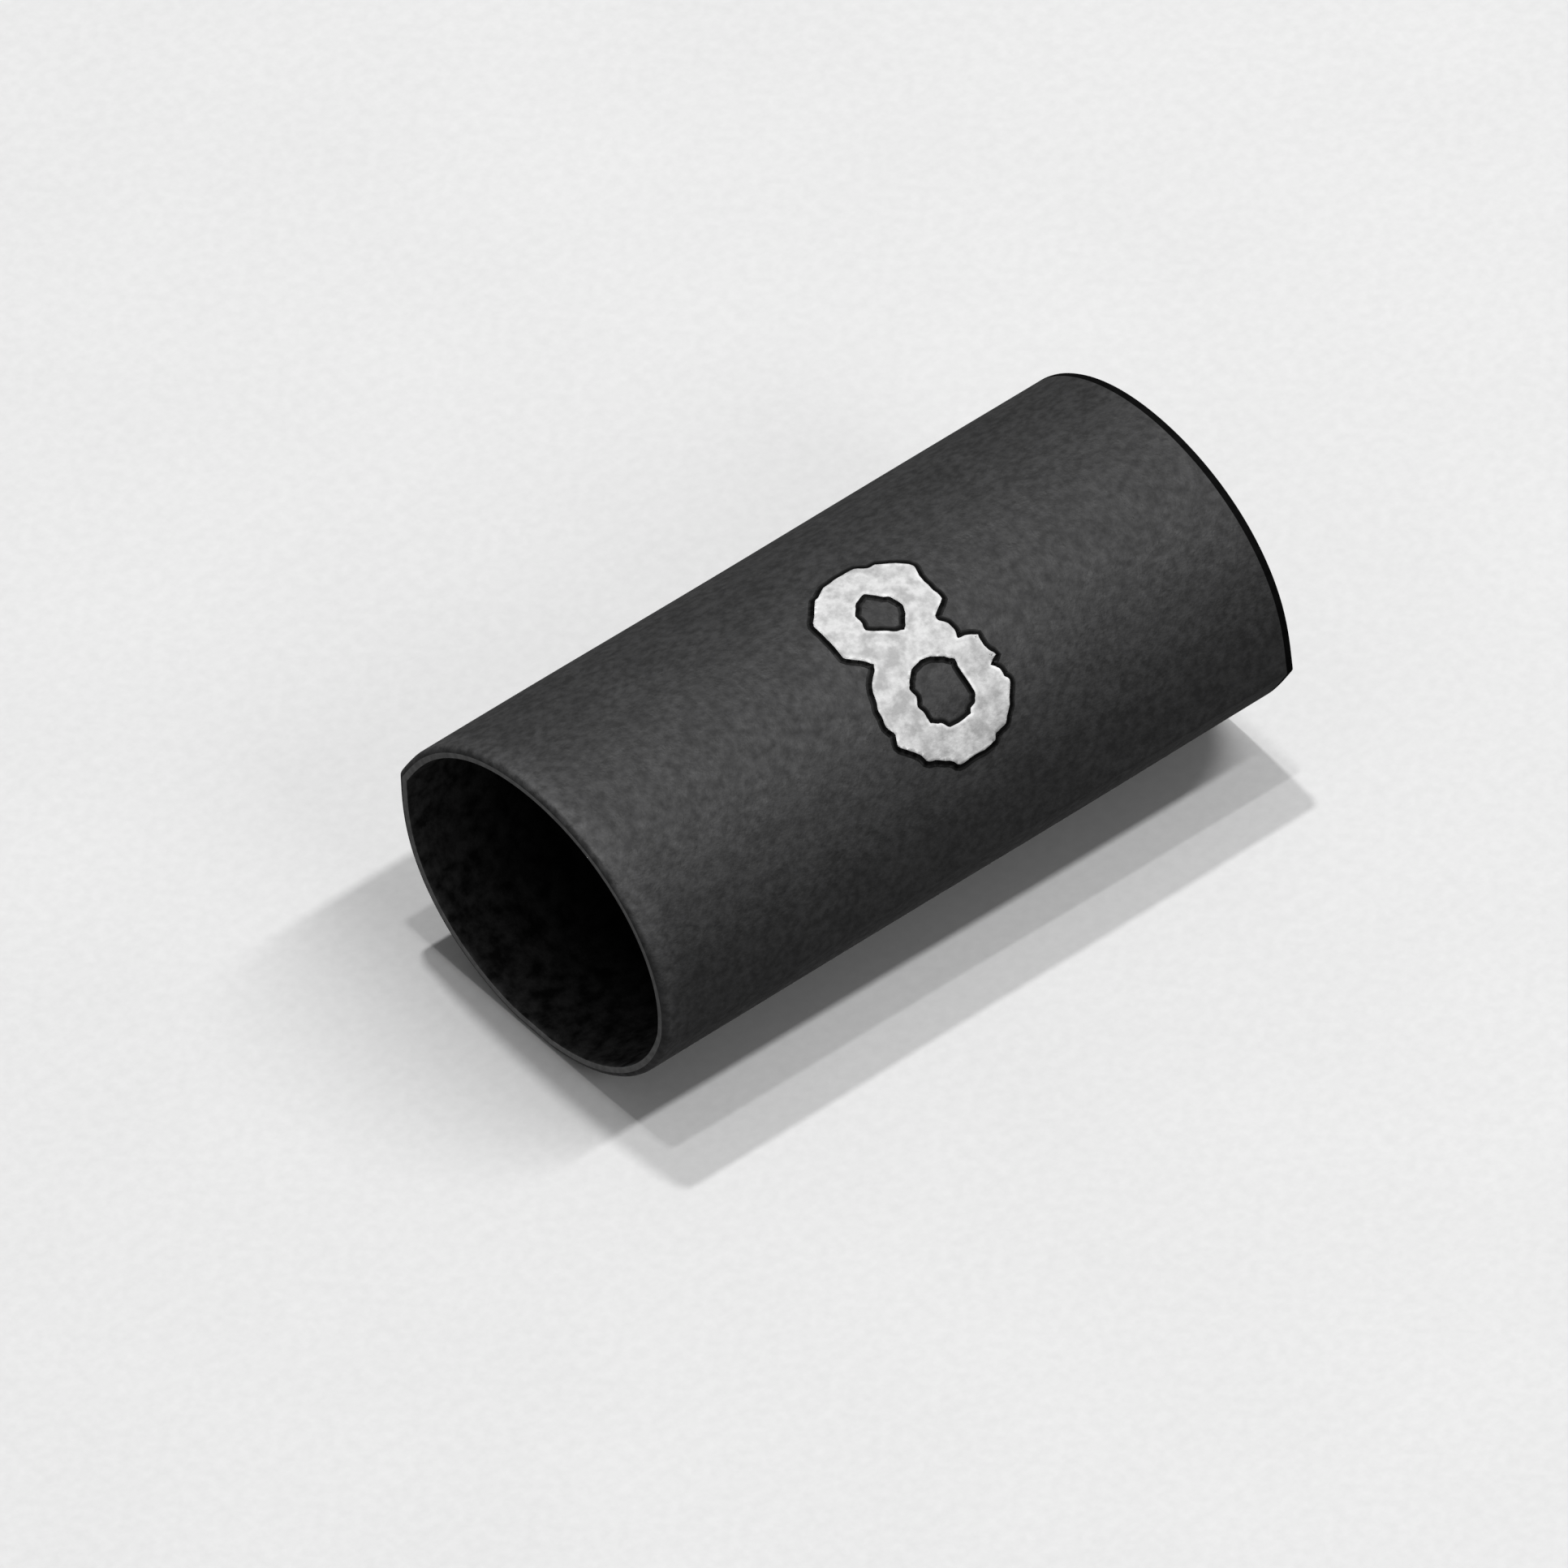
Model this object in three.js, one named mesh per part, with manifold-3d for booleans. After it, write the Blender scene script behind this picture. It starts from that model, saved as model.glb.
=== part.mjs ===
// Numbered heat-shrink cable marker: one pre-cut sleeve of single-wall tubing with the
// figure 8 printed on its flank. It lies on its side, as it drops out of the bag.
// Millimetres, +Z up. +X runs along the sleeve, Y is across the wide way of its oval
// section, and the origin is on the surface it lies on, under the middle of the sleeve.

import * as THREE from 'three';
import { mergeVertices } from 'three/addons/utils/BufferGeometryUtils.js';
import Module from 'manifold-3d';

// Sleeve: 3/8 inch tubing as supplied, cut one inch long and left slightly oval by the reel
const sleeveLength = 25.4;
const outerWidth = 12.64;
const outerHeight = 10.8;
const wallThickness = 0.41;
const restFlatDepth = 0.045; // how far the side it lies on is flattened, which stops it rolling
const sleeveFacets = 120;

// Printed figure: sizes are measured on the unrolled surface, from the figure's centre
const figureOffCrown = 2.73; // arc from the crown line down to the figure's centre, on the -Y side
const figureAlong = 0.47; // the centre's place along the sleeve, from its middle
const upperLoop = { across: 0.04, up: 1.8, halfWidth: 2.04, halfHeight: 1.92 };
const lowerLoop = { across: 0, up: -1.48, halfWidth: 2.27, halfHeight: 2.24 };
const upperCounter = { across: 0.04, up: 1.78, halfWidth: 0.79, halfHeight: 0.96 };
const lowerCounter = { across: 0.06, up: -1.4, halfWidth: 0.98, halfHeight: 1.15 };
const loopPoints = 64;
const inkClearance = 0.02; // keeps the ink film and the sleeve two separate solids
const inkThickness = 0.05;
const cutterDepth = 2.6; // how far the figure's prism reaches in behind the surface
const cutterStandOff = 0.7; // and how far it stands out in front of it

const axisHeight = outerHeight / 2 - restFlatDepth; // above the surface it lies on
const crownAngle = Math.PI / 2;
const arcStep = 0.002; // radians, for measuring along the oval

const sleeveFinish = new THREE.MeshStandardMaterial({ color: 0x343436, roughness: 0.78, metalness: 0 });
const inkFinish = new THREE.MeshStandardMaterial({ color: 0xd9d9d6, roughness: 0.7, metalness: 0 });

// Section frame, used by every solid here: x across the oval, y up, z along the sleeve

// The oval, moved outwards by `offset`, with its underside held level where it is flattened.
// Its corners are turned half a facet, so that a facet is square on to each axis.
function ovalOutline(offset) {
  return Array.from({ length: sleeveFacets }, (_, i) => {
    const turn = (2 * Math.PI * (i + 0.5)) / sleeveFacets;
    const across = (outerWidth / 2 + offset) * Math.cos(turn);
    const up = (outerHeight / 2 + offset) * Math.sin(turn);
    return new THREE.Vector2(across, Math.max(up, -axisHeight - offset));
  });
}

function ovalTube(outerOffset, innerOffset, length) {
  const section = new THREE.Shape(ovalOutline(outerOffset));
  section.holes.push(new THREE.Path(ovalOutline(innerOffset)));
  const tube = new THREE.ExtrudeGeometry(section, { depth: length, bevelEnabled: false });
  return tube.translate(0, 0, -length / 2);
}

// A point of the outer surface: angle 0 is the -Y side of the oval and 90 degrees its crown
function surfacePoint(angle) {
  return new THREE.Vector2(-Math.cos(angle) * outerWidth / 2, Math.sin(angle) * outerHeight / 2);
}

function surfaceTangent(angle) {
  return new THREE.Vector2(Math.sin(angle) * outerWidth, Math.cos(angle) * outerHeight).normalize();
}

// The angle reached by walking a signed arc length from the crown line; minus is towards -Y
function angleFromCrown(arc) {
  let angle = crownAngle;
  let walked = 0;
  while (walked < Math.abs(arc)) {
    const next = angle + Math.sign(arc) * arcStep;
    walked += surfacePoint(next).distanceTo(surfacePoint(angle));
    angle = next;
  }
  return angle;
}

const figureAngle = angleFromCrown(-figureOffCrown);
const figureCentre = surfacePoint(figureAngle);
const figureUp = surfaceTangent(figureAngle);

// Height above the figure's centre, seen square on, of a point that is `up` along the arc
function chordHeight(up) {
  const point = surfacePoint(angleFromCrown(up - figureOffCrown));
  return point.sub(figureCentre).dot(figureUp);
}

function toSolid(geometry) {
  geometry.deleteAttribute('normal');
  geometry.deleteAttribute('uv');
  const merged = mergeVertices(geometry);
  return new solids.Manifold(new solids.Mesh({
    numProp: 3,
    vertProperties: merged.attributes.position.array,
    triVerts: Uint32Array.from(merged.index.array),
  }));
}

function toGeometry(solid) {
  const mesh = solid.getMesh();
  const geometry = new THREE.BufferGeometry();
  geometry.setAttribute('position', new THREE.BufferAttribute(mesh.vertProperties, 3));
  geometry.setIndex(new THREE.BufferAttribute(mesh.triVerts, 1));
  geometry.computeVertexNormals();
  return geometry;
}

// A prism of one round outline of the figure, standing square through the sleeve's surface
function loopPrism({ across, up, halfWidth, halfHeight }) {
  const outline = Array.from({ length: loopPoints }, (_, i) => {
    const turn = (2 * Math.PI * i) / loopPoints;
    return new THREE.Vector2(across + halfWidth * Math.cos(turn), chordHeight(up + halfHeight * Math.sin(turn)));
  });
  const prism = new THREE.ExtrudeGeometry(new THREE.Shape(outline), {
    depth: cutterDepth + cutterStandOff,
    bevelEnabled: false,
  });
  const along = new THREE.Vector3(0, 0, 1);
  const upwards = new THREE.Vector3(figureUp.x, figureUp.y, 0);
  const outwards = new THREE.Vector3().crossVectors(along, upwards);
  const origin = new THREE.Vector3(figureCentre.x, figureCentre.y, figureAlong);
  const place = new THREE.Matrix4().makeBasis(along, upwards, outwards);
  place.setPosition(origin.addScaledVector(outwards, -cutterDepth));
  return toSolid(prism.applyMatrix4(place));
}

function buildSleeve() {
  const sleeve = new THREE.Mesh(ovalTube(0, -wallThickness, sleeveLength), sleeveFinish);
  sleeve.name = 'sleeve';
  return sleeve;
}

// Two rings joined into an 8, trimmed to a thin film that follows the sleeve's facets
function buildPrintedFigure() {
  const film = toSolid(ovalTube(inkClearance + inkThickness, inkClearance, sleeveLength / 2));
  const figure = loopPrism(upperLoop)
    .add(loopPrism(lowerLoop))
    .subtract(loopPrism(upperCounter))
    .subtract(loopPrism(lowerCounter));
  const printedFigure = new THREE.Mesh(toGeometry(film.intersect(figure)), inkFinish);
  printedFigure.name = 'printed_figure';
  return printedFigure;
}

const solids = await Module();
solids.setup();

// Lay the section frame down: its x becomes Y, its y becomes Z and its z becomes X
const marker = new THREE.Group();
marker.add(buildSleeve(), buildPrintedFigure());
marker.setRotationFromMatrix(new THREE.Matrix4().makeBasis(
  new THREE.Vector3(0, 1, 0),
  new THREE.Vector3(0, 0, 1),
  new THREE.Vector3(1, 0, 0),
));
marker.position.z = axisHeight;

export default marker;
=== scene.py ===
import math
from bisect import bisect_left

import bmesh
import bpy
from mathutils import Matrix, Vector, noise


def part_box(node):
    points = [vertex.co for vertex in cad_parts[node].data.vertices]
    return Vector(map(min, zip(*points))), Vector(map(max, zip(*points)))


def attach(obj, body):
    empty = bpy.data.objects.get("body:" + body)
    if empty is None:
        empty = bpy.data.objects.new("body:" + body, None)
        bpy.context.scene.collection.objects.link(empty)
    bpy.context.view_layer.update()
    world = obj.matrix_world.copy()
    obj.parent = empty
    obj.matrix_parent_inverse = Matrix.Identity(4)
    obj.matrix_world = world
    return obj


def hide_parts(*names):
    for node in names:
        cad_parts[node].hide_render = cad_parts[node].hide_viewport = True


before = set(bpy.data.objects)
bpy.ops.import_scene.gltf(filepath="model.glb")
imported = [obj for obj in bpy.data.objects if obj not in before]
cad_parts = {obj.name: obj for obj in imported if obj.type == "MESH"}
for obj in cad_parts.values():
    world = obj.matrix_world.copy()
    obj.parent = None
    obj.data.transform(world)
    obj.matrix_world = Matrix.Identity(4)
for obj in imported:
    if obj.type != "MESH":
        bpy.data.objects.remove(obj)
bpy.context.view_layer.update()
mm = 0.001

# Heat-shrink cable marker: an oval sleeve lying on its side, with an 8 printed round its flank.
# A place on the sleeve is given by a turn (0 is the -Y side, a quarter turn is the crown),
# a distance along +X, and how far it is lifted off the outer surface.
# A pattern in these dictionaries is patches of the given size, with factors from low to high.

sleeveLow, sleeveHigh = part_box("sleeve")
figureLow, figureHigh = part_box("printed_figure")

sleeve = {
    "wall": 0.41 * mm,
    "restFlat": 0.045 * mm,  # how far the underside is flattened
    "around": 256,
    "rings": 118,
    # turn in degrees of the folds left by the flat reel, and how far they stand out at each end
    "creases": ((-8.5, 0.05 * mm, 0.38 * mm), (168.5, 0.31 * mm, 0.14 * mm)),
    "creaseWidth": 11.0,  # degrees
    "wander": 0.035 * mm,  # slow unevenness of the wall
    "wanderSize": 9.0 * mm,
    "wanderFade": (-0.9, -0.3),  # sine of the turn: none where it rests, all of it further up
    "cutWander": 0.03 * mm,  # the knife didn't run quite true
    "cutWanderSize": 5.0 * mm,
    "nearRound": 0.25 * mm,
    "farRound": 0.13 * mm,
    "innerRound": 0.06 * mm,
    "roundSteps": 4,
    "rimSlope": 0.7,  # faces that look more along the sleeve than this are its cut ends
    "cutSlope": -0.99,  # after rounding, only near faces that look straight out show the cut
    "farBand": 0.3 * mm,  # width of the band of painted shade along the far cut, near black where the end turns away from the lamps
    "jacket": {
        "colour": (0.028, 0.028, 0.0284),
        "specular": 0.45,
        "roughness": {"size": 0.35 * mm, "low": 0.52, "high": 0.74},
        "grain": {"size": 0.3 * mm, "low": 0.6, "high": 1.4, "spread": 0.15},
        "patches": {"size": 1.1 * mm, "low": 0.89, "high": 1.11, "spread": 0.15},
        "drawLines": {"size": 0.35 * mm, "low": 0.97, "high": 1.03},
        "drawStretch": (0.05, 1, 1),  # the lines left by the die run along the sleeve
        "litEndLength": 1.3 * mm,  # how far in from the near end it is painted paler, as painted light on that end
        "litEndTone": 1.7,
        "bump": {"size": 0.16 * mm, "detail": 4},
        "bumpDepth": 0.012 * mm,
    },
    "bore": {
        "colour": (0.032, 0.032, 0.032),
        "specular": 0.15,
        "roughness": 0.75,
        "patches": {"size": 0.5 * mm, "low": 0.3, "high": 1.7, "spread": 0.15},
        "boreShadeReach": (0.5 * mm, 4.5 * mm),  # from the near end: painted paler where light reaches into the mouth, then painted shade, near black, further in
        "boreShadeTone": (1.7, 0.2),
        "bump": {"size": 0.2 * mm},
        "bumpDepth": 0.015 * mm,
    },
    "cut": {
        "nearColour": (0.25, 0.25, 0.25),  # whitened by the blade, as the far cut is not
        "farColour": (0.05, 0.05, 0.05),
        "specular": 0.35,
        "roughness": 0.7,
        "patches": {"size": 0.25 * mm, "low": 0.75, "high": 1.25},
        "bump": {"size": 0.1 * mm},
        "bumpDepth": 0.012 * mm,
    },
    # painted shade: the near black band along the far cut
    "farEndShade": {
        "colour": (0.0035, 0.0035, 0.0035),
        "specular": 0.04,
        "roughness": 0.8,
        "patches": {"size": 0.3 * mm, "low": 0.6, "high": 1.4},
    },
}

axisHeight = (sleeveHigh.z - sleeve["restFlat"]) / 2
halfHeight = (sleeveHigh.z + sleeve["restFlat"]) / 2
halfWidth = (sleeveHigh.y - sleeveLow.y) / 2
nearEnd = sleeveLow.x
farEnd = sleeveHigh.x


def easeStep(value, low, high):
    share = min(max((value - low) / (high - low), 0.0), 1.0)
    return share * share * (3 - 2 * share)


def creaseRise(turn, along):
    share = (along - nearEnd) / (farEnd - nearEnd)
    rise = 0.0
    for degrees, nearRise, farRise in sleeve["creases"]:
        away = abs(math.remainder(turn - math.radians(degrees), math.tau))
        height = nearRise + (farRise - nearRise) * share
        rise += height * math.exp(-away / math.radians(sleeve["creaseWidth"]))
    return rise


def wallWander(turn, along):
    around = halfWidth / sleeve["wanderSize"]
    place = Vector((along / sleeve["wanderSize"], around * math.cos(turn), around * math.sin(turn)))
    return sleeve["wander"] * easeStep(math.sin(turn), *sleeve["wanderFade"]) * noise.noise(place)


def skinPoint(turn, along, lift=0.0):
    grow = lift + creaseRise(turn, along) + wallWander(turn, along)
    across = -(halfWidth + grow) * math.cos(turn)
    up = axisHeight + (halfHeight + grow) * math.sin(turn)
    return Vector((along, across, max(up, 0.0)))


def arcTable(steps=2400):
    # turns once round the oval from its underside, and the arc length walked at each
    turns, arcs = [-math.pi / 2], [0.0]
    for i in range(1, steps + 1):
        turn = -math.pi / 2 + math.tau * i / steps
        pace = math.hypot(halfWidth * math.sin(turn), halfHeight * math.cos(turn))
        turns.append(turn)
        arcs.append(arcs[-1] + pace * math.tau / steps)
    return turns, arcs


turnList, arcList = arcTable()


def lookUp(value, known, wanted):
    i = min(max(bisect_left(known, value), 1), len(known) - 1)
    share = (value - known[i - 1]) / (known[i] - known[i - 1])
    return wanted[i - 1] + share * (wanted[i] - wanted[i - 1])


def everything(bm):
    return bm.verts[:] + bm.edges[:] + bm.faces[:]


def madeVerts(result):
    return [v for v in result["geom"] if isinstance(v, bmesh.types.BMVert)]


def keepMesh(bm, name, materials):
    mesh = bpy.data.meshes.new(name)
    bm.to_mesh(mesh)
    bm.free()
    for material in materials:
        mesh.materials.append(material)
    mesh.polygons.foreach_set("use_smooth", [True] * len(mesh.polygons))
    piece = bpy.data.objects.new(name, mesh)
    bpy.context.collection.objects.link(piece)
    return piece


def newMaterial(name, specular, roughness=0.5):
    material = bpy.data.materials.new(name)
    material.use_nodes = True
    shader = material.node_tree.nodes["Principled BSDF"]
    shader.inputs["Roughness"].default_value = roughness
    shader.inputs["Specular IOR Level"].default_value = specular
    return material, shader


def addNode(material, kind, values=None, **settings):
    node = material.node_tree.nodes.new(kind)
    for key, value in settings.items():
        setattr(node, key, value)
    for socket, value in (values or {}).items():
        node.inputs[socket].default_value = value
    return node


def wire(material, output, socket):
    material.node_tree.links.new(output, socket)


def objectPlace(material, stretch=(1, 1, 1)):
    coordinate = addNode(material, "ShaderNodeTexCoord")
    mapping = addNode(material, "ShaderNodeMapping", {"Scale": stretch})
    wire(material, coordinate.outputs["Object"], mapping.inputs["Vector"])
    return mapping.outputs["Vector"]


def mottle(material, place, size, low=0.0, high=1.0, detail=3.0, spread=0.2, crispness=0.55):
    # noise with patches of the given size, turned into a factor between low and high
    cloud = addNode(material, "ShaderNodeTexNoise", {
        "Scale": 1 / size, "Detail": detail, "Roughness": crispness})
    wire(material, place, cloud.inputs["Vector"])
    middle = 0.5  # the noise runs from 0 to 1 and gathers here, so spread sets the contrast
    factor = addNode(material, "ShaderNodeMapRange", {
        "From Min": middle - spread, "From Max": middle + spread, "To Min": low, "To Max": high})
    wire(material, cloud.outputs["Fac"], factor.inputs["Value"])
    return factor.outputs["Result"]


def fadeAlong(material, place, start, end, first, last, easing="LINEAR"):
    # a factor that goes from first to last between two places along the sleeve
    distance = addNode(material, "ShaderNodeSeparateXYZ")
    wire(material, place, distance.inputs["Vector"])
    fade = addNode(material, "ShaderNodeMapRange", {
        "From Min": start, "From Max": end, "To Min": first, "To Max": last},
        interpolation_type=easing)
    wire(material, distance.outputs["X"], fade.inputs["Value"])
    return fade.outputs["Result"]


def fadeToEdge(material, away, atEdge, reach=1.0):
    # a factor that goes from away to atEdge as the ink's edge gets nearer
    nearness = addNode(material, "ShaderNodeAttribute", attribute_name="edge")
    fade = addNode(material, "ShaderNodeMapRange", {
        "From Max": reach, "To Min": away, "To Max": atEdge})
    wire(material, nearness.outputs["Fac"], fade.inputs["Value"])
    return fade.outputs["Result"]


def multiply(material, *factors):
    result = factors[0]
    for factor in factors[1:]:
        product = addNode(material, "ShaderNodeMath", operation="MULTIPLY")
        wire(material, result, product.inputs[0])
        wire(material, factor, product.inputs[1])
        result = product.outputs["Value"]
    return result


def tintBy(material, shader, colour, factor):
    scaled = addNode(material, "ShaderNodeVectorMath", operation="SCALE")
    scaled.inputs[0].default_value = colour
    wire(material, factor, scaled.inputs["Scale"])
    wire(material, scaled.outputs["Vector"], shader.inputs["Base Color"])


def bumpBy(material, shader, place, look):
    height = mottle(material, place, **look["bump"])
    bump = addNode(material, "ShaderNodeBump", {"Distance": look["bumpDepth"]})
    wire(material, height, bump.inputs["Height"])
    wire(material, bump.outputs["Normal"], shader.inputs["Normal"])


studio = {
    "azimuth": -40.3,
    "elevation": 45.7,
    "distance": 1.235,
    "frameWidth": 48.67 * mm,  # how wide the view is at the sleeve
    "sensor": 36.0,
    "clipStart": 0.01,
    "sleeveRight": 1.927 * mm,  # how far the sleeve's middle stands off the middle of the view
    "sleeveUp": 1.884 * mm,
    "floorSize": 3.0,
    "lampDistance": 0.8,
    "ambient": 0.165,
    "paper": {
        "colour": (0.785, 0.785, 0.785),
        "specular": 0.2,
        "roughness": 0.85,
        "clouds": {"size": 9 * mm, "low": 0.985, "high": 1.012, "detail": 5},
        "fibres": {"size": 0.4 * mm, "low": 0.97, "high": 1.03, "detail": 4},
    },
}

# lean towards +X and towards +Y in degrees, watts, and the lamp's size along X and across it
lamps = {
    "lampBehind": {"lean": (5.0, 16.8), "power": 2.15, "size": (0.05, 0.03)},
    "lampAbove": {"lean": (-1.0, 1.9), "power": 0.95, "size": (0.05, 0.03)},
    "lampFront": {"lean": (20.0, -16.4), "power": 2.75, "size": (0.6, 0.05)},
    "lampFill": {"lean": (5.0, -52.0), "power": 0.72, "size": (0.3, 0.3)},
}


def standAt(thing, spot, right, up, back):
    axes = Matrix((right, up, back)).transposed().to_4x4()
    thing.matrix_world = Matrix.Translation(spot) @ axes
    bpy.context.collection.objects.link(thing)


def placeCamera():
    turn, rise = math.radians(studio["azimuth"]), math.radians(studio["elevation"])
    back = Vector((math.sin(turn) * math.cos(rise), -math.cos(turn) * math.cos(rise), math.sin(rise)))
    right = Vector((math.cos(turn), math.sin(turn), 0))
    up = back.cross(right)
    aim = Vector((0, 0, axisHeight)) - right * studio["sleeveRight"] - up * studio["sleeveUp"]
    camera = bpy.data.objects.new("camera", bpy.data.cameras.new("camera"))
    camera.data.sensor_width = studio["sensor"]
    camera.data.lens = studio["sensor"] * studio["distance"] / studio["frameWidth"]
    camera.data.clip_start = studio["clipStart"]
    standAt(camera, aim + back * studio["distance"], right, up, back)
    bpy.context.scene.camera = camera


def placeLamps():
    for name, lamp in lamps.items():
        light = bpy.data.lights.new(name, "AREA")
        light.shape = "ELLIPSE"
        light.size, light.size_y = lamp["size"]
        light.energy = lamp["power"]
        leanX, leanY = (math.tan(math.radians(angle)) for angle in lamp["lean"])
        away = Vector((leanX, leanY, 1)).normalized()
        across = away.cross(Vector((1, 0, 0))).normalized()
        holder = bpy.data.objects.new(name, light)
        standAt(holder, away * studio["lampDistance"], across.cross(away), across, away)


def paperMaterial():
    look = studio["paper"]
    material, shader = newMaterial("palePaper", look["specular"], look["roughness"])
    place = objectPlace(material)
    clouds = mottle(material, place, **look["clouds"])
    fibres = mottle(material, place, **look["fibres"])
    tintBy(material, shader, look["colour"], multiply(material, clouds, fibres))
    return material


def layFloor():
    bm = bmesh.new()
    bmesh.ops.create_grid(bm, x_segments=1, y_segments=1, size=studio["floorSize"] / 2)
    floor = keepMesh(bm, "floor", [paperMaterial()])
    floor.visible_diffuse = False  # keeps the flank and the bore as dark as under a hooded lamp
    floor.visible_glossy = False


def lightRoom():
    world = bpy.data.worlds.new("room")
    world.use_nodes = True
    backdrop = world.node_tree.nodes["Background"]
    backdrop.inputs["Color"].default_value = (1, 1, 1, 1)
    backdrop.inputs["Strength"].default_value = studio["ambient"]
    bpy.context.scene.world = world
    bpy.context.scene.view_settings.view_transform = "Standard"


placeCamera()
placeLamps()
layFloor()
lightRoom()
print("studio: camera,", len(lamps), "lamps and the floor")

# the sleeve's material slots, in the order that buildSleeve hands them over
jacketSlot, boreSlot, nearCutSlot, farShadeSlot, farCutSlot = range(5)


def jacketMaterial():
    look = sleeve["jacket"]
    material, shader = newMaterial("sleeveJacket", look["specular"])
    place = objectPlace(material)
    drawnPlace = objectPlace(material, stretch=look["drawStretch"])
    grain = mottle(material, place, **look["grain"])
    patches = mottle(material, place, **look["patches"])
    drawLines = mottle(material, drawnPlace, **look["drawLines"])
    # painted light: the jacket is painted paler towards the near end
    paintedLitEnd = fadeAlong(
        material, place, nearEnd, nearEnd + look["litEndLength"], look["litEndTone"], 1.0, "SMOOTHSTEP")
    tone = multiply(material, grain, patches, drawLines, paintedLitEnd)
    tintBy(material, shader, look["colour"], tone)
    wire(material, mottle(material, place, **look["roughness"]), shader.inputs["Roughness"])
    bumpBy(material, shader, place, look)
    return material


def boreMaterial():
    look = sleeve["bore"]
    material, shader = newMaterial("sleeveBore", look["specular"], look["roughness"])
    place = objectPlace(material)
    # painted light near the mouth, and painted shade deeper in the bore
    shadeStart, shadeEnd = look["boreShadeReach"]
    depthShade = fadeAlong(material, place, nearEnd + shadeStart, nearEnd + shadeEnd, *look["boreShadeTone"])
    patches = mottle(material, place, **look["patches"])
    tintBy(material, shader, look["colour"], multiply(material, patches, depthShade))
    bumpBy(material, shader, place, look)
    return material


def cutMaterial(name, colour):
    look = sleeve["cut"]
    material, shader = newMaterial(name, look["specular"], look["roughness"])
    place = objectPlace(material)
    tintBy(material, shader, colour, mottle(material, place, **look["patches"]))
    bumpBy(material, shader, place, look)
    return material


# painted shade: the near black band round the far end of the jacket
def farShadeMaterial():
    look = sleeve["farEndShade"]
    material, shader = newMaterial("sleeveFarEndShade", look["specular"], look["roughness"])
    place = objectPlace(material)
    tintBy(material, shader, look["colour"], mottle(material, place, **look["patches"]))
    return material


def cutShift(point):
    # how far a cut end leans in or out at this place of the section
    wave = noise.noise(Vector((point.y, point.z, point.x)) / sleeve["cutWanderSize"])
    return sleeve["cutWander"] * wave


def facesAxis(face):
    middle = face.calc_center_median()
    return face.normal.dot(Vector((0, middle.y, middle.z - axisHeight))) < 0


def rimEdges(bm, rims, isFar, isOuter):
    edges = []
    for edge in bm.edges:
        touching = [f for f in edge.link_faces if f in rims]
        other = [f for f in edge.link_faces if f not in rims]
        if len(touching) == 1 and len(other) == 1 and (edge.verts[0].co.x > 0) == isFar:
            if (other[0].material_index != boreSlot) == isOuter:
                edges.append(edge)
    return edges


def finishRims(bm):
    bm.normal_update()
    rims = {f for f in bm.faces if abs(f.normal.x) > sleeve["rimSlope"]}
    for face in bm.faces:
        if face in rims:
            face.material_index = nearCutSlot
        elif facesAxis(face):
            face.material_index = boreSlot
    for isFar, isOuter, size in (
            (False, True, sleeve["nearRound"]), (False, False, sleeve["innerRound"]),
            (True, True, sleeve["farRound"]), (True, False, sleeve["innerRound"])):
        bmesh.ops.bevel(
            bm, geom=rimEdges(bm, rims, isFar, isOuter), offset=size, offset_type="OFFSET",
            segments=sleeve["roundSteps"], profile=0.5, affect="EDGES", material=-1,
            clamp_overlap=True)
        rims = {f for f in bm.faces if f.material_index == nearCutSlot}
    bm.normal_update()
    for face in bm.faces:
        atNearEnd = face.calc_center_median().x < nearEnd + sleeve["wall"]
        if face.material_index != boreSlot and atNearEnd:
            isCut = face.normal.x < sleeve["cutSlope"] or facesAxis(face)
            face.material_index = nearCutSlot if isCut else jacketSlot
        elif face.material_index == nearCutSlot:
            face.material_index = farCutSlot


def buildSleeve():
    # an open tube of length 1, moved point by point onto the sleeve's outer surface
    bm = bmesh.new()
    bmesh.ops.create_circle(bm, segments=sleeve["around"], radius=1)
    drawn = bmesh.ops.extrude_edge_only(bm, edges=bm.edges[:])
    bmesh.ops.translate(bm, verts=madeVerts(drawn), vec=(0, 0, 1))
    lengthways = [e for e in bm.edges if e.verts[0].co.z != e.verts[1].co.z]
    bmesh.ops.subdivide_edges(bm, edges=lengthways, cuts=sleeve["rings"], use_grid_fill=True)
    for v in bm.verts:
        turn = math.atan2(v.co.y, -v.co.x)
        along = nearEnd + v.co.z * (farEnd - nearEnd)
        v.co = skinPoint(turn, along)
        if v.is_boundary:
            v.co.x += cutShift(v.co)
    bandStart = farEnd - sleeve["farBand"]
    bmesh.ops.bisect_plane(
        bm, geom=everything(bm), plane_co=(bandStart, 0, 0), plane_no=(1, 0, 0))
    bmesh.ops.recalc_face_normals(bm, faces=bm.faces[:])
    if facesAxis(bm.faces[0]):
        bmesh.ops.reverse_faces(bm, faces=bm.faces[:])
    # faces in the far band take the painted shade
    for face in bm.faces:
        inBand = face.calc_center_median().x > bandStart
        face.material_index = farShadeSlot if inBand else jacketSlot
    bmesh.ops.solidify(bm, geom=bm.faces[:], thickness=sleeve["wall"])
    finishRims(bm)
    return keepMesh(bm, "marker_sleeve", [
        jacketMaterial(), boreMaterial(), cutMaterial("nearCutEdge", sleeve["cut"]["nearColour"]),
        farShadeMaterial(), cutMaterial("farCutEdge", sleeve["cut"]["farColour"])])


markerSleeve = buildSleeve()
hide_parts("sleeve")
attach(markerSleeve, "root")
print("sleeve:", len(markerSleeve.data.polygons), "faces")

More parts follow.
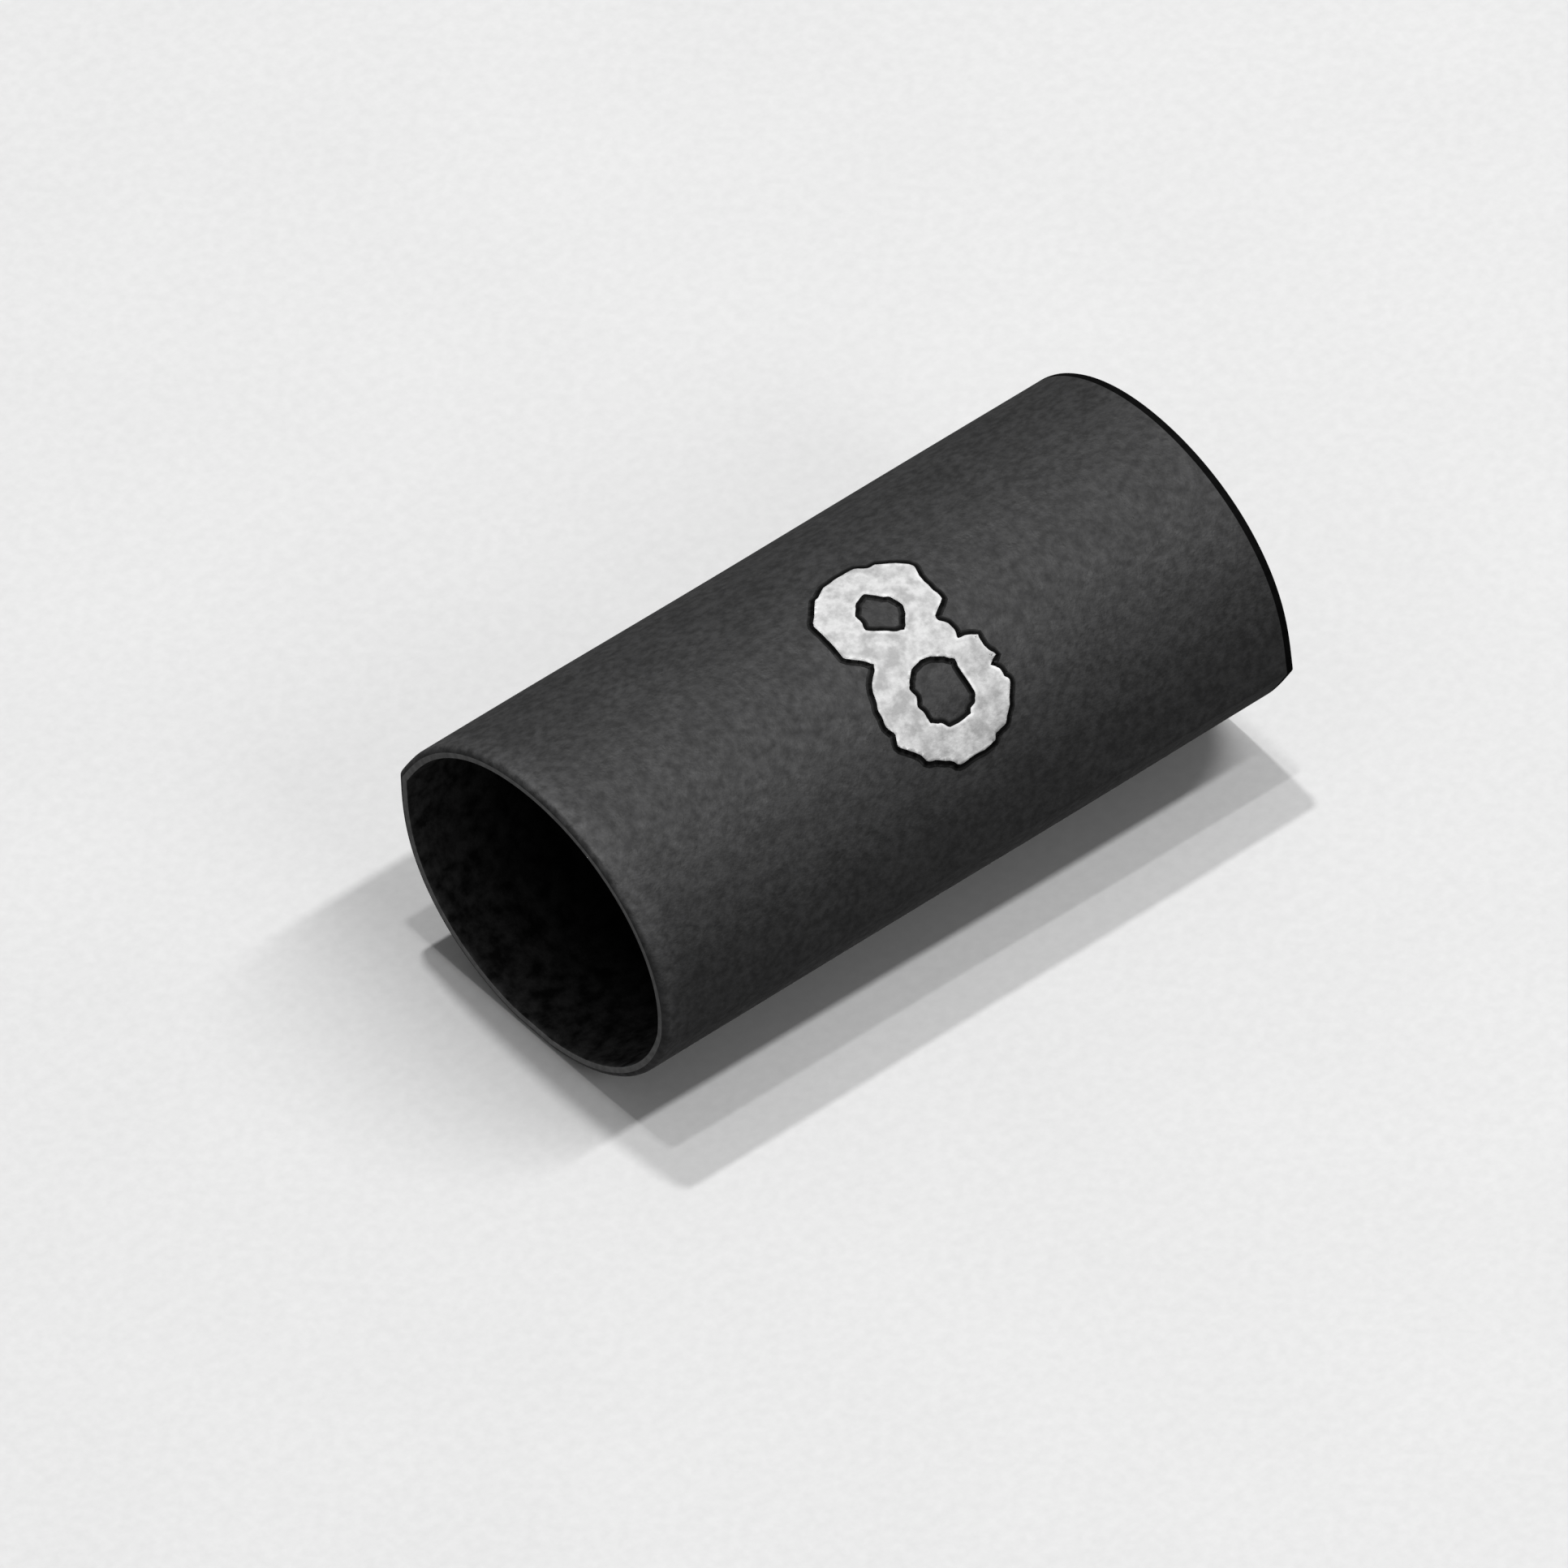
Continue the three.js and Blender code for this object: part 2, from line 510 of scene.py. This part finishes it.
# Corners of the ink, in mm from the figure's centre on the unrolled surface: along, then up
figure = {
    "edge": [
        (1.35, 0.72), (1.99, 1.1), (1.93, 1.6), (1.97, 2.2), (2.12, 2.62), (1.75, 3.05), (1.2, 3.45),
        (0.95, 3.45), (0.65, 3.74), (0, 3.76), (-0.65, 3.7), (-1.0, 3.48), (-1.25, 3.4), (-1.6, 3.0),
        (-1.95, 2.62), (-1.98, 2.0), (-2.02, 1.1), (-1.72, 0.82), (-1.32, 0.42), (-1.5, 0.2),
        (-1.85, -0.1), (-2.05, -0.5), (-2.2, -0.95), (-2.28, -1.5), (-2.12, -1.85), (-2.3, -2.15),
        (-1.95, -2.5), (-1.72, -2.75), (-1.62, -3.05), (-1.25, -3.2), (-0.8, -3.45), (-0.6, -3.7),
        (0, -3.66), (0.5, -3.68), (0.85, -3.6), (1.0, -3.42), (1.45, -3.3), (1.75, -2.95),
        (2.0, -2.55), (2.25, -2.2), (2.12, -2.0), (2.12, -1.75), (1.9, -1.5), (2.3, -1.3),
        (2.1, -0.95), (2.1, -0.75), (2.18, -0.5), (1.75, -0.3), (1.48, -0.3), (1.6, 0),
        (1.55, 0.3), (1.4, 0.5)],
    "upperHole": [
        (0.15, 2.68), (-0.3, 2.55), (-0.7, 2.12), (-0.72, 1.75), (-0.82, 1.52), (-0.4, 1.2),
        (0, 0.92), (0.25, 0.83), (0.45, 1.05), (0.85, 1.6), (0.8, 1.8), (0.68, 2.08), (0.45, 2.3)],
    "lowerHole": [
        (0, -0.25), (-0.45, -0.36), (-0.7, -0.62), (-0.95, -0.86), (-0.85, -1.15), (-1.02, -1.45),
        (-0.9, -1.75), (-0.92, -2.1), (-0.6, -2.25), (-0.38, -2.52), (0.1, -2.52), (0.5, -2.5),
        (0.6, -2.32), (0.82, -2.28), (0.98, -2.0), (0.98, -1.4), (0.96, -1.0), (1.05, -0.8),
        (0.75, -0.55), (0.4, -0.3)],
    "cuts": 3,
    "tooth": 0.05 * mm,
    "toothSize": 0.16 * mm,
    "seed": 8,  # of the ragged outline, so that every run draws the same one
    "soften": 0.3,
    "slide": -0.08 * mm,  # up the arc from where the CAD film lies
    "bead": 0.13 * mm,  # ink squeezed to the edge of the stroke
    "beadWeld": 3,  # inner points nearer to each other than this part of the bead are merged
    "border": 0.2 * mm,  # border round the ink, darkened as painted shade where the stamp presses the jacket
    "foldSlope": 0.5,  # border faces that look up less than this have folded over
    "relaxRounds": 3,  # of smoothing, to open the folds again
    "relax": 0.5,
    "borderThickness": 0.012 * mm,
    "inkThickness": 0.03 * mm,
    "levelSlope": 0.9,  # only faces that look up more than this carry ink
    "clearance": 0.004 * mm,
    "gridUp": 0.2 * mm,
    "gridAlong": 0.4 * mm,
    "reach": 4.2 * mm,
    "crumb": 0.002 * mm,  # edges shorter than this are taken out
    "ink": {
        "colour": (0.69, 0.69, 0.69),
        "specular": 0.3,
        "roughness": 0.6,
        "cover": {"size": 0.5 * mm, "low": 0.74, "high": 1.18, "detail": 4, "spread": 0.12},
        "grain": {"size": 0.14 * mm, "low": 0.93, "high": 1.07},
        "beadTone": (0.88, 1.25),  # within the stroke, and at its edge
        "bump": {"size": 0.2 * mm, "detail": 4},
        "bumpDepth": 0.012 * mm,
    },
    # the border's look: painted shade round the ink
    "inkEdgeShade": {
        "colour": (0.05, 0.05, 0.05),
        "specular": 0.1,
        "roughness": 0.7,
        "patches": {"size": 0.3 * mm, "low": 0.8, "high": 1.2},
        "borderTone": (0.7, 0.04),  # the jacket's own tone, going near black beside the ink as painted shade
        "borderReach": 0.45,
    },
}

inkSlot, borderSlot = range(2)


def inkMaterial():
    look = figure["ink"]
    material, shader = newMaterial("markingInk", look["specular"], look["roughness"])
    place = objectPlace(material)
    bead = fadeToEdge(material, *look["beadTone"])
    cover = mottle(material, place, **look["cover"])
    grain = mottle(material, place, **look["grain"])
    tintBy(material, shader, look["colour"], multiply(material, cover, grain, bead))
    bumpBy(material, shader, place, look)
    return material


# painted shade: the border round the ink darkens to near black at the ink's edge
def borderMaterial():
    look = figure["inkEdgeShade"]
    material, shader = newMaterial("inkBorderShade", look["specular"], look["roughness"])
    place = objectPlace(material)
    depth = fadeToEdge(material, *look["borderTone"], look["borderReach"])
    patches = mottle(material, place, **look["patches"])
    tintBy(material, shader, look["colour"], multiply(material, depth, patches))
    return material


def outlineLoop(bm, corners):
    ring = [bm.verts.new((x * mm, y * mm, 0)) for x, y in corners]
    for i, v in enumerate(ring):
        bm.edges.new((v, ring[i - 1]))


def growBorder(bm, width):
    # a strip of new faces round every edge of the ink, its outlines moved straight away from it
    away = {}
    rim = [e for e in bm.edges if e.is_boundary]
    for edge in rim:
        loop = edge.link_loops[0]
        run = (loop.link_loop_next.vert.co - loop.vert.co).normalized()
        for v in edge.verts:
            away[v] = away.get(v, Vector()) + Vector((run.y, -run.x, 0))
    grown = bmesh.ops.extrude_edge_only(bm, edges=rim)
    for v in madeVerts(grown):
        source = next(e.other_vert(v) for e in v.link_edges if e.other_vert(v) in away)
        v.co += away[source].normalized() * width
    for face in grown["geom"]:
        if isinstance(face, bmesh.types.BMFace):
            face.material_index = borderSlot
    for relaxRound in range(figure["relaxRounds"]):
        bm.normal_update()
        folds = [f for f in bm.faces if f.normal.z < figure["foldSlope"]]
        folded = {v for f in folds for v in f.verts if v.is_boundary}
        bmesh.ops.smooth_vert(
            bm, verts=list(folded), factor=figure["relax"], use_axis_x=True, use_axis_y=True)


def cutGrid(bm, step, direction):
    place = -figure["reach"]
    while place < figure["reach"]:
        bmesh.ops.bisect_plane(
            bm, geom=everything(bm), plane_co=direction * place, plane_no=direction)
        place += step


def inkSheet():
    # the figure's outlines, made ragged and filled, with its bead and its border, all flat
    bm = bmesh.new()
    for outline in ("edge", "upperHole", "lowerHole"):
        outlineLoop(bm, figure[outline])
    bmesh.ops.subdivide_edges(bm, edges=bm.edges[:], cuts=figure["cuts"])
    noise.seed_set(figure["seed"])
    for v in bm.verts:
        ragged = noise.noise_vector(v.co / figure["toothSize"]) * figure["tooth"]
        v.co += Vector((ragged.x, ragged.y, 0))
    bmesh.ops.smooth_vert(
        bm, verts=bm.verts[:], factor=figure["soften"], use_axis_x=True, use_axis_y=True)
    bmesh.ops.triangle_fill(bm, use_beauty=True, edges=bm.edges[:], normal=(0, 0, 1))
    bmesh.ops.recalc_face_normals(bm, faces=bm.faces[:])
    if bm.faces[0].normal.z < 0:
        bmesh.ops.reverse_faces(bm, faces=bm.faces[:])
    edgeLayer = bm.verts.layers.float.new("edge")
    bmesh.ops.inset_region(bm, faces=bm.faces[:], use_boundary=True, thickness=figure["bead"])
    inner = [v for v in bm.verts if not v.is_boundary]
    bmesh.ops.remove_doubles(bm, verts=inner, dist=figure["bead"] / figure["beadWeld"])
    for v in bm.verts:
        v[edgeLayer] = 1.0 if v.is_boundary else 0.0
    growBorder(bm, figure["border"])
    for v in bm.verts:
        if v.is_boundary:
            v[edgeLayer] = 0.0
    return bm


def wrapFigure(bm):
    # the figure's place comes from its CAD film: its lower end and its upper end over the crown
    lowTurn = math.asin((figureLow.z - axisHeight) / halfHeight)
    highTurn = math.acos(-figureHigh.y / halfWidth)
    lowArc, highArc = (lookUp(turn, turnList, arcList) for turn in (lowTurn, highTurn))
    middleArc = (lowArc + highArc) / 2 + figure["slide"]
    middleAlong = (figureLow.x + figureHigh.x) / 2
    bottom = min(v.co.z for v in bm.verts)
    for v in bm.verts:
        turn = lookUp(middleArc + v.co.y, arcList, turnList)
        v.co = skinPoint(turn, middleAlong + v.co.x, figure["clearance"] + v.co.z - bottom)


def buildFigure():
    bm = inkSheet()
    cutGrid(bm, figure["gridUp"], Vector((0, 1, 0)))
    cutGrid(bm, figure["gridAlong"], Vector((1, 0, 0)))
    bmesh.ops.dissolve_degenerate(bm, edges=bm.edges[:], dist=figure["crumb"])
    bm.normal_update()
    bmesh.ops.solidify(bm, geom=bm.faces[:], thickness=figure["borderThickness"])
    bm.normal_update()
    top = max(v.co.z for v in bm.verts)
    level = [f for f in bm.faces if f.normal.z > figure["levelSlope"]]
    plateau = [f for f in level if f.material_index == inkSlot]
    raised = bmesh.ops.extrude_face_region(bm, geom=plateau)
    bmesh.ops.translate(bm, verts=madeVerts(raised), vec=(0, 0, figure["inkThickness"]))
    bmesh.ops.delete(bm, geom=plateau, context="FACES")
    for face in bm.faces:
        isInk = max(v.co.z for v in face.verts) > top + figure["inkThickness"] / 2
        face.material_index = inkSlot if isInk else borderSlot
    wrapFigure(bm)
    return keepMesh(bm, "printed_eight", [inkMaterial(), borderMaterial()])


printedEight = buildFigure()
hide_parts("printed_figure")
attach(printedEight, "root")
print("printed figure:", len(printedEight.data.polygons), "faces")
